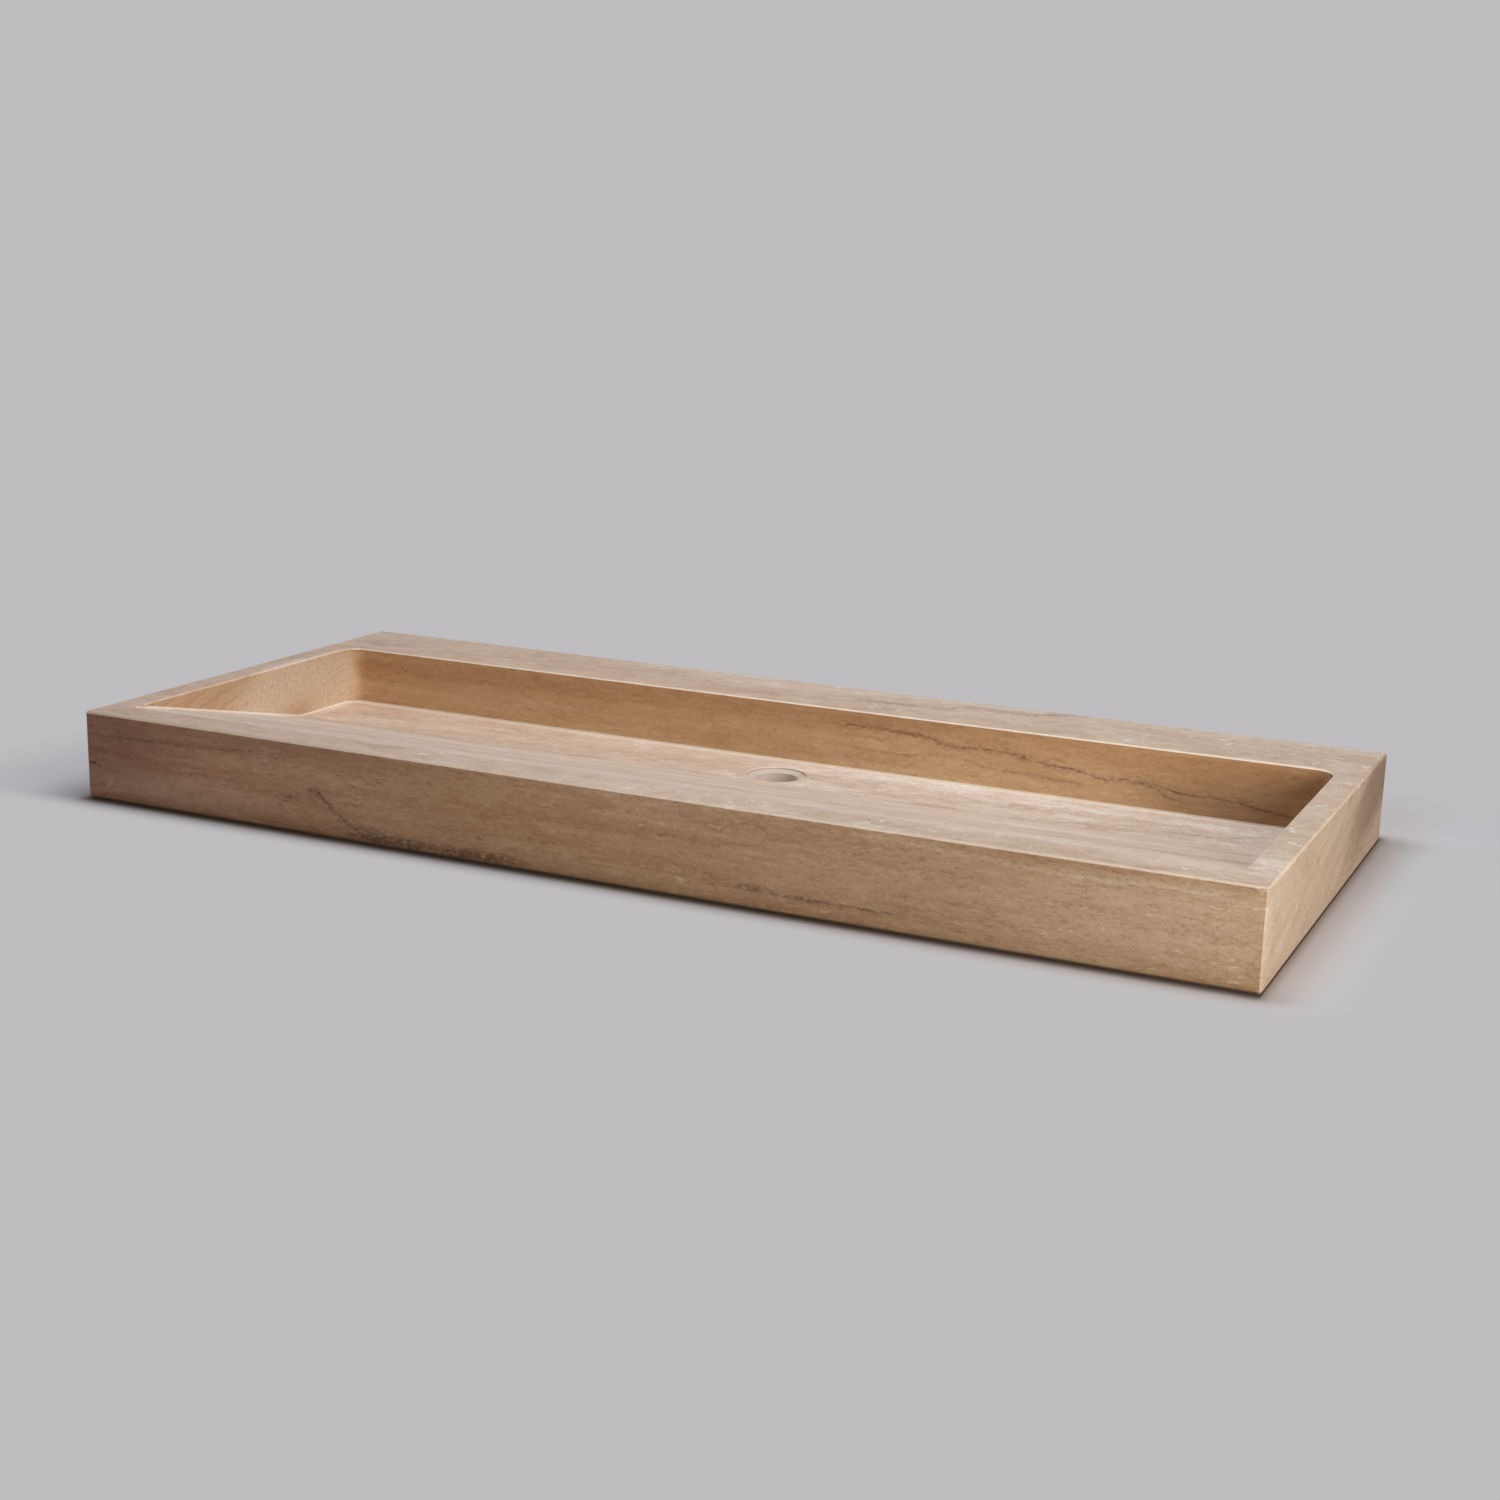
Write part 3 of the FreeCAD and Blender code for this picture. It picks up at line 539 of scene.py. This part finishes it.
class Travertine(Surface):
    """Bedded stone: its figure, seams and marks, painted light and shade as tints of its faces, and its pale
    edges, partly painted highlight.
    """

    def __init__(self):
        super().__init__("travertine")
        self.spot = self.place()
        self.beds = self.turned(self.spot, -BED_RISE)
        self.along, self.run, self.across = self.split(self.beds)
        self.x, self.y, self.z = self.split(self.spot)
        self.normal_x, self.normal_y, self.normal_z = self.split(self.normal())
        self.find_faces()
        self.draw_figure()
        self.draw_seams()
        self.draw_marks()
        self.paint_light_and_shade()
        self.paint_face_light_and_shade()
        self.draw_edges_and_highlights()
        self.polish()

    def lay(self, share, colour):
        """Lays a colour over what is there."""
        self.colour = self.mix(share, self.colour, colour)

    def tint(self, share, colour):
        """Multiplies what is there by a colour."""
        self.colour = self.mix(share, self.colour, colour, blend="MULTIPLY")

    def layer(self, height, scales, detail, roughness):
        """Noise that is drawn out along the beds."""
        spot = self.join(self.along * scales[0], self.run * scales[1], height * scales[2])
        return self.noise(spot, 1.0, detail, roughness)

    def find_faces(self):
        bowl = self.step(self.z, *BOWL_TOP) * self.step(abs(self.x), *BOWL_HALF_LENGTH)
        bowl = bowl * self.step(abs(self.y), *BOWL_HALF_DEPTH)
        self.inside = bowl * self.step(self.z, *BOWL_BOTTOM)
        self.outside = 1.0 - self.inside
        self.slope = abs(self.normal_z)
        self.upward = self.step(self.normal_z, *FACING_UP)
        self.upright = 1.0 - self.upward
        self.bowl_floor = self.inside * self.upward
        to_front = self.step(self.normal_y, *FACING_FRONT)
        self.front = to_front * self.outside
        self.back_wall = self.inside * to_front
        to_right = self.step(self.normal_x, *FACING_RIGHT)
        self.right_end = to_right * self.outside
        self.left_wall = self.inside * to_right

    def draw_figure(self):
        level = self.across
        for height, wave in BED_WAVES:
            level = level + height * (self.noise(self.beds, *wave) - NOISE_MIDDLE)
        broad = self.layer(level, *BROAD)
        laminae = self.layer(level, *LAMINAE)
        streaks = self.layer(level, *STREAKS)
        clouds = self.layer(self.across, *CLOUDS)
        self.fibres = self.layer(level, *FIBRES)
        self.grain = self.noise(self.spot, *GRAIN)
        self.blotch = self.layer(self.across, *BLOTCHES)
        layers = (broad, laminae, streaks, clouds, self.fibres, self.grain)
        tone = sum(weight * layer for weight, layer in zip(TONE_WEIGHTS, layers))
        self.colour = self.ramp(tone + FRONT_LIFT * self.front, TONE_STOPS)

        calm = 1.0 - TOP_CALM * self.upward
        folds = self.math("PINGPONG", self.layer(level, *CONTOURS) * HAIRLINE_COUNT, HAIRLINE_FOLD)
        patchy = self.step(self.noise(self.beds, *PATCHES), *PATCH_EDGE)
        self.lay(HAIRLINE_STRENGTH * self.step(folds, *HAIRLINE_WIDTH) * patchy * calm, BROWN_STONE)

        dashes = self.layer(level, *DASHES)
        zone = self.noise(self.beds, *FLECK_ZONES) + FLECK_ZONE_LEAN * self.along
        flecks = self.step(dashes, *FLECK_EDGE) * self.step(zone, *FLECK_ZONE_EDGE)
        self.lay(flecks * (FLECK_STRENGTH - FLECK_LOSS_IN_BOWL * self.inside), FLECK_STONE)
        self.lay(RUST_DASH_STRENGTH * self.step(dashes, *RUST_DASH_EDGE) * calm, RUST_STONE)

        smooth = BACK_WALL_SMOOTH * self.back_wall + LEFT_WALL_SMOOTH * self.left_wall
        self.lay(smooth + RIGHT_END_SMOOTH * self.right_end, WALL_STONE)
        streaked = self.left_wall * self.step(self.x, *LEFT_WALL_PLACE) * self.step(self.y, *LEFT_WALL_FRONT)
        streaked = streaked * self.step(self.layer(level, *WALL_STREAKS), *WALL_STREAK_EDGE)
        self.lay(WALL_STREAK_STRENGTH * streaked, RUST_STONE)

    def seam(self, path, thick, reach, wander):
        """How strongly a seam, and the stain beside it, show here: it follows points seen on one face."""
        spots = [bed_coordinates(*point) for point in path]
        off = self.across - self.curve(self.along, [(along, across) for along, _, across in spots])
        middle = sum(run for _, run, _ in spots) / len(spots)
        start, end = spots[0][0], spots[-1][0]
        window = self.step(self.along, start - SEAM_FADE, start + SEAM_FADE)
        window = window * self.step(self.along, end + SEAM_FADE, end - SEAM_FADE)
        window = window * self.step(abs(self.run - middle), reach, SEAM_FULL_REACH * reach)
        jagged = off + wander * (SEAM_SWELL * self.swell + SEAM_TWIST * self.twist)
        jagged = jagged + SEAM_FRAY * (self.fibres - NOISE_MIDDLE)
        width = thick * (SEAM_WIDTH + SEAM_WIDTH_SWELL * self.swell)
        line = self.step(abs(jagged), width, SEAM_FULL_WIDTH * thick) * self.breaks
        swung = off - STRAND_SWING * wander * thick * self.twist
        strand = self.step(abs(swung), STRAND_WIDTH * thick, 0.0) * self.gaps
        stain = self.step(abs(off), STAIN_WIDTH * thick, 0.0) * self.step(self.blotch, *STAIN_EDGE)
        return window * self.math("MAXIMUM", line, STRAND_STRENGTH * strand), window * stain

    def draw_seams(self):
        self.swell = self.noise(self.beds, *SWELL) - NOISE_MIDDLE
        self.twist = self.noise(self.beds, *TWIST) - NOISE_MIDDLE
        self.gaps = self.step(self.noise(self.beds, *GAPS), *GAP_EDGE)
        self.breaks = BREAK_LEAST + BREAK_GAIN * self.step(self.noise(self.beds, *BREAKS), *BREAK_EDGE)
        quiet = 1.0 - self.upward * (RIM_QUIET + BOWL_QUIET * self.inside)
        for path, thick, reach, wander, strength, stain_strength, colour in SEAMS:
            line, stain = self.seam(path, thick, reach, wander)
            self.lay(stain_strength * stain * quiet, colour)
            self.lay(strength * line * quiet, colour)

    def mark(self, middle, reaches):
        """One soft lens that lies in the beds."""
        here = (self.along, self.run, self.across + MARK_TWIST * self.twist)
        squares = 0.0
        for value, centre, reach in zip(here, bed_coordinates(*middle), reaches):
            share = (value - centre) * (1.0 / (reach * MM))
            squares = squares + share * share
        return self.step(squares, 1.0, 0.0)

    def draw_marks(self):
        for marks, strength, colour, broken_edge in MARKS:
            broken = self.step(self.blotch, *broken_edge)
            for middle, reaches in marks:
                self.lay(strength * self.mark(middle, reaches) * broken, colour)

    def paint_light_and_shade(self):
        # painted shade, a painted dark reflection and a painted light patch, each multiplied into the colour
        for shade, where, colour in (
                (PAINTED_BOWL_SHADE, self.inside, PAINTED_SHADE_TINT),
                (PAINTED_RIGHT_END_REFLECTION, self.outside, PAINTED_SHADE_TINT),
                (PAINTED_LEFT_SHADE, PAINTED_LEFT_SHADE_STRENGTH * self.outside, PAINTED_SHADE_TINT),
                (SOFT_PAINTED_SHADE, self.outside, SOFT_SHADE_TINT),
                (PAINTED_LIGHT_PATCH, self.outside, PAINTED_LIGHT_TINT)):
            self.tint(self.mark(*shade) * self.upright * where, colour)

    def paint_face_light_and_shade(self):
        # painted shade: the front face is tinted warmer and deeper than the tops, less so towards its lit
        # right end, with a rose shade at its left end
        front_shade = self.mix(self.step(self.along, *FRONT_RIGHT), FRONT_SHADE_TINT, FRONT_RIGHT_LIGHT_TINT)
        self.tint(self.front, front_shade)
        self.tint(self.front * self.step(self.along, *FRONT_LEFT), ROSE_SHADE_TINT)
        # painted shade: the bowl's back wall, which faces away from the lamps, is tinted warmer, and lighter
        # towards its lower part
        back_wall_shade = self.mix(self.step(self.z, *LOW_WALL), BACK_WALL_SHADE_TINT, LOW_WALL_TINT)
        self.tint(self.back_wall, back_wall_shade)
        # painted reflection: the right end is tinted paler and bluer for the pale sheen that glances off it
        self.tint(self.right_end, RIGHT_END_SHEEN_TINT)

        # painted sheen: faces that look up, and the drain's seat, are tinted paler and cooler, more so in
        # the bowl and towards the right
        seat = self.step(self.distance_from_drain(self.x, self.y), *SEAT_RADIUS)
        rim_sheen = self.mix(self.step(self.along, *RIM_RIGHT), RIM_SHEEN_TINT, RIGHT_RIM_SHEEN_TINT)
        top_sheen = self.mix(self.inside, rim_sheen, BOWL_SHEEN_TINT)
        self.tint(self.math("MAXIMUM", self.upward, seat), top_sheen)
        # painted light and shade: the level strip by the back wall is lighter towards the right and darker
        # and warmer towards the left
        strip_light_and_shade = self.mix(self.step(self.along, *STRIP_LEFT), STRIP_LIGHT_TINT, LEFT_STRIP_SHADE_TINT)
        self.tint(self.bowl_floor * self.step(self.y, *STRIP_DEPTH), strip_light_and_shade)
        # painted shade: the upper part of the ramp is darkened, less so towards the right
        upper_ramp_shade = self.bowl_floor * self.step(self.y, *UPPER_RAMP_DEPTH)
        upper_ramp_shade = upper_ramp_shade * self.step(self.along, *UPPER_RAMP_START)
        upper_ramp_shade = upper_ramp_shade * (1.0 - UPPER_RAMP_RIGHT_LOSS * self.step(self.along, *UPPER_RAMP_RIGHT))
        self.tint(upper_ramp_shade, RAMP_SHADE_TINT)
        # painted shade: the front face darkens over its lowest centimetre, where the floor shades it
        painted_foot = self.step(self.z, *FOOT_SHADE_HEIGHT) * self.front * self.step(self.slope, *FOOT_SHADE_SLOPE)
        self.tint(painted_foot, FOOT_SHADE_TINT)

    def draw_edges_and_highlights(self):
        # painted light on the bottom edge, which faces the dark floor
        painted_foot = self.step(self.z, *FOOT_ARRIS_HEIGHT) * self.step(self.slope, *FOOT_ARRIS_SLOPE)
        self.lay(FOOT_EDGE_LIGHT_STRENGTH * painted_foot, PAINTED_FOOT_EDGE_LIGHT)
        # pale lines along the eased edges and corners: partly paler worn stone, partly painted highlight
        worn_and_lit_edge = self.step(self.slope, *ARRIS_SLOPE_START) * self.step(self.slope, *ARRIS_SLOPE_END)
        worn_and_lit_edge = worn_and_lit_edge * self.step(self.z, *ARRIS_HEIGHT)
        corner = self.step(abs(self.x) + abs(self.y), *CORNER_PLACE)
        corner = corner * self.step(abs(self.normal_x * self.normal_y), *CORNER_TURN)
        worn_and_lit_edge = self.math("MAXIMUM", worn_and_lit_edge, corner)
        worn_and_lit_edge = worn_and_lit_edge * (ARRIS_STRENGTH + ARRIS_GAIN_IN_BOWL * self.inside)
        left = self.step(self.normal_x, *LEFT_ARRIS_TURN) * self.step(self.z, *LEFT_ARRIS_HEIGHT)
        left = left * self.step(self.x, *LEFT_ARRIS_PLACE)
        right = self.step(self.x, *RIGHT_ARRIS_PLACE) * self.step(self.normal_x, *RIGHT_ARRIS_TURN)
        worn_and_lit_edge = worn_and_lit_edge * (1.0 - LEFT_ARRIS_LOSS * left) * (1.0 - RIGHT_ARRIS_LOSS * right)
        self.lay(worn_and_lit_edge, PALE_EDGE_AND_HIGHLIGHT)
        # painted highlight along the foot of the back wall
        wall_foot_highlight = self.bowl_floor * self.step(self.y, *WALL_FOOT_DEPTH)
        self.lay(WALL_FOOT_HIGHLIGHT_STRENGTH * wall_foot_highlight, PALE_EDGE_AND_HIGHLIGHT)

    def polish(self):
        """The rims and the outside are polished, and the carved bowl and the right end are duller."""
        roughness = POLISH_ROUGHNESS + FIBRE_ROUGHNESS * self.fibres
        roughness = roughness + BOWL_ROUGHNESS * self.inside + RIGHT_END_ROUGHNESS * self.right_end
        self.paint(self.colour, roughness, STONE_BUMP * self.grain + STONE_BUMP * self.fibres)
        self.shader.inputs["Specular IOR Level"].default_value = STONE_SPECULAR


def cream_coat():
    """Coated metal, with a paler throat below the flange."""
    g = Surface("cream_coat")
    place = g.place()
    cloud = g.noise(place, *COAT_CLOUD)
    peel = g.noise(place, *COAT_PEEL)
    flange = g.ramp(cloud, COAT_FLANGE_STOPS)
    throat = g.ramp(cloud, COAT_THROAT_STOPS)
    _, _, facing_up = g.split(g.normal())
    colour = g.mix(g.step(facing_up, *COAT_FLANGE_FACING), throat, flange)
    g.paint(colour, COAT_ROUGHNESS + COAT_CLOUD_ROUGHNESS * cloud, COAT_BUMP * peel)
    return g.material


def rubber(name, colours):
    g = Surface(name)
    place = g.place()
    bloom = g.noise(place, *RUBBER_BLOOM)
    skin = g.noise(place, *RUBBER_SKIN)
    colour = g.ramp(bloom, list(zip(RUBBER_RAMP, colours)))
    g.paint(colour, RUBBER_ROUGHNESS + RUBBER_BLOOM_ROUGHNESS * bloom, RUBBER_BUMP * skin)
    return g.material


def turned_metal(name, colours, roughness):
    """Metal with the fine rings that a lathe or a brush leaves about the drain's axis."""
    g = Surface(name)
    place = g.place()
    x, y, z = g.split(place)
    radius = g.distance_from_drain(x, y)
    rings = g.noise(g.join(radius * METAL_RING_SCALE, z * METAL_RING_SCALE, 0.0), 1.0, METAL_RING_DETAIL)
    stain = g.noise(place, *METAL_STAIN)
    worn = METAL_RING_WEIGHT * rings + METAL_STAIN_WEIGHT * stain
    colour = g.ramp(worn, list(zip(METAL_RAMP, colours)))
    g.paint(colour, roughness + METAL_STAIN_ROUGHNESS * stain, METAL_BUMP * rings)
    g.shader.inputs["Metallic"].default_value = 1.0
    return g.material


def white_plastic():
    g = Surface("white_plastic")
    haze = g.noise(g.place(), *PLASTIC_HAZE)
    g.paint(g.ramp(haze, PLASTIC_STOPS), PLASTIC_ROUGHNESS + PLASTIC_HAZE_ROUGHNESS * haze)
    return g.material


def floor_material():
    """Plain pale floor that runs into the pale surroundings with no edge, and is open to view from below."""
    g = Surface("floor")
    place = g.place()
    x, y, _ = g.split(place)
    beside = g.math("MAXIMUM", abs(x) - HALF_LENGTH, 0.0)
    before = g.math("MAXIMUM", abs(y) - HALF_DEPTH, 0.0)

    colour = g.ramp(g.noise(place, *FLOOR_MOTTLE), FLOOR_STOPS)
    # painted warm light: the floor is tinted warm within a few centimetres beside the block's right end
    colour = g.mix(g.step(beside, *WARM_REACH) * g.step(x, *WARM_SIDE), colour, PAINTED_WARM_LIGHT)
    # painted contact shadow: the floor turns dark brown along the block's foot, paler beside its ends
    unshadowed = g.math("MAXIMUM", g.step(before, *CONTACT_SHADOW_REACH), g.step(beside, *SIDE_SHADOW_REACH))
    colour = g.mix(unshadowed, g.mix(g.step(beside, *SIDE_START), PAINTED_CONTACT_SHADOW, PAINTED_SIDE_SHADOW), colour)
    g.paint(colour, FLOOR_ROUGHNESS)

    away = before * (1.0 + (FRONT_FADE - 1.0) * g.step(y, *FRONT_SIDE))
    aside = beside * (1.0 + (RIGHT_FADE - 1.0) * g.step(x, *RIGHT_SIDE) * g.step(y, *RIGHT_FADE_DEPTH))
    far = g.step(g.math("SQRT", aside * aside + away * away), *FLOOR_FADE)
    glow = g.signal("Emission", "Emission", {"Color": PALE_GREY, "Strength": 1.0})
    faded = g.blend(far * g.seen(), Signal(g, g.shader.outputs["BSDF"]), glow)

    below = g.signal("NewGeometry", "Backfacing", {})
    under = g.math("LESS_THAN", abs(x), HALF_LENGTH - FLOOR_LAP)
    under = under * g.math("LESS_THAN", abs(y), HALF_DEPTH - FLOOR_LAP)
    under = under * g.math("GREATER_THAN", g.distance_from_drain(x, y), FLOOR_DISC)
    opened = g.blend(g.math("MAXIMUM", below, under), faded, g.signal("BsdfTransparent", "BSDF", {}))
    g.feed(g.tree.nodes["Material Output"].inputs["Surface"], opened)
    return g.material


def make_floor():
    half = FLOOR_HALF_SIZE
    mesh = bpy.data.meshes.new("floor")
    corners = [(-half, -half), (half, -half), (half, half), (-half, half)]
    mesh.from_pydata([(x, y, FLOOR_HEIGHT) for x, y in corners], [], [(0, 1, 2, 3)])
    mesh.materials.append(floor_material())
    floor = bpy.data.objects.new("floor", mesh)
    bpy.context.scene.collection.objects.link(floor)


def make_world():
    """Pale to look at and in reflections, and a low even light on the rest, stronger below the floor."""
    world = bpy.data.worlds.new("studio")
    bpy.context.scene.world = world
    world.use_nodes = True
    g = Graph(world.node_tree)
    _, _, height = g.split(g.signal("TexCoord", "Generated", {}))
    light = g.span(height, *BELOW_HORIZON, SKY_LIGHT, UNDER_LIGHT)
    background = g.tree.nodes["Background"]
    background.inputs["Color"].default_value = PALE_GREY
    g.feed(background.inputs["Strength"], g.span(g.seen(), 0.0, 1.0, light, 1.0))


def softbox(name, place, aim, size, power, colour, mirrored):
    light = bpy.data.lights.new(name, "AREA")
    light.shape = "RECTANGLE"
    light.size, light.size_y = size
    light.energy = power
    light.color = colour
    lamp = bpy.data.objects.new(name, light)
    lamp.location = place
    lamp.rotation_euler = (Vector(aim) - Vector(place)).to_track_quat("-Z", "Y").to_euler()
    lamp.visible_camera = False
    lamp.visible_glossy = mirrored
    bpy.context.scene.collection.objects.link(lamp)


def make_camera():
    cosine, sine = math.cos(CAMERA_AZIMUTH), math.sin(CAMERA_AZIMUTH)
    flat = math.cos(CAMERA_ELEVATION)
    right = Vector((cosine, sine, 0.0))
    back = Vector((sine * flat, -cosine * flat, math.sin(CAMERA_ELEVATION)))
    level = Matrix((right, back.cross(right), back)).transposed()
    turn = level @ Matrix.Rotation(CAMERA_ROLL, 3, "Z")
    data = bpy.data.cameras.new("camera")
    data.lens = LENS_MM
    camera = bpy.data.objects.new("camera", data)
    camera.matrix_world = Matrix.Translation(CAMERA_PLACE) @ turn.to_4x4()
    bpy.context.scene.collection.objects.link(camera)
    bpy.context.scene.camera = camera


def dress(name, material):
    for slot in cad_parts[name].material_slots:
        slot.material = material


dress("basin_body", Travertine().material)
dress("waste_body", cream_coat())
dress("flange_seal", rubber("pale_rubber", PALE_RUBBER))
dress("lower_seal", rubber("black_rubber", BLACK_RUBBER))
dress("strainer", turned_metal("steel_sheet", STEEL, STEEL_ROUGHNESS))
dress("lock_nut", turned_metal("brass", BRASS, BRASS_ROUGHNESS))
dress("slip_washer", white_plastic())

make_floor()
make_world()
softbox("key", KEY_PLACE, KEY_AIM, KEY_SIZE, KEY_POWER, KEY_COLOUR, mirrored=False)
softbox("overhead", TOP_PLACE, TOP_AIM, TOP_SIZE, TOP_POWER, TOP_COLOUR, mirrored=True)
make_camera()
bpy.context.scene.view_settings.view_transform = "Standard"
